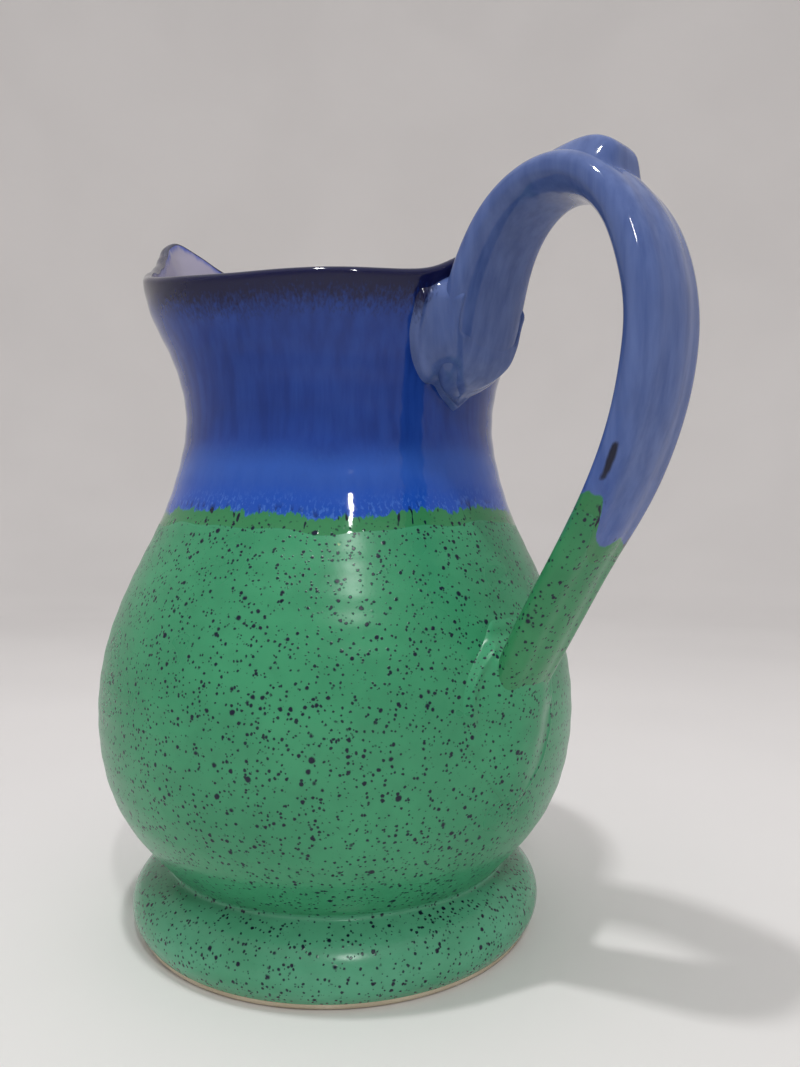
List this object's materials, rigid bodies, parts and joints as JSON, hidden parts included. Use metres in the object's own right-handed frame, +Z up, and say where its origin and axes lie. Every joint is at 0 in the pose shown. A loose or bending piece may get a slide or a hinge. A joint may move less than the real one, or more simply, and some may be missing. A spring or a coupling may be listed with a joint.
{
  "type": "ceramic pitcher",
  "caption": "Round-bellied stoneware pitcher with a rolled foot, a swept-up pouring spout and a tall strap handle with a thumb rest, glazed blue above speckled green.",
  "frame": {"origin": "centre of the foot's contact ring, on the surface that the pitcher stands on", "axes": "+Z up along the axis of the thrown body, +X towards the handle, spout towards -X and about 6 degrees towards -Y"},
  "size_m": [0.2409, 0.1706, 0.2687],
  "materials": {
    "bare_clay": "matte fired stoneware",
    "blue_glaze": "glossy cobalt glaze",
    "green_glaze": "satin green glaze with dark blue speckles",
    "lining_glaze": "glossy pale lavender glaze"
  },
  "bodies": {
    "root": {"foot_ring": "bare_clay", "base_disc": "bare_clay", "belly_wall": "bare_clay", "neck_wall": "bare_clay", "spout": "bare_clay", "handle_strap": "bare_clay", "handle_top_pad": "blue_glaze", "handle_tail": "green_glaze", "thumb_rest": "blue_glaze", "foot_glaze": "green_glaze", "belly_glaze": "green_glaze", "neck_glaze": "blue_glaze", "inside_belly_glaze": "lining_glaze", "inside_neck_glaze": "lining_glaze", "handle_blue_glaze": "blue_glaze", "handle_green_glaze": "green_glaze"}
  },
  "joints": []
}
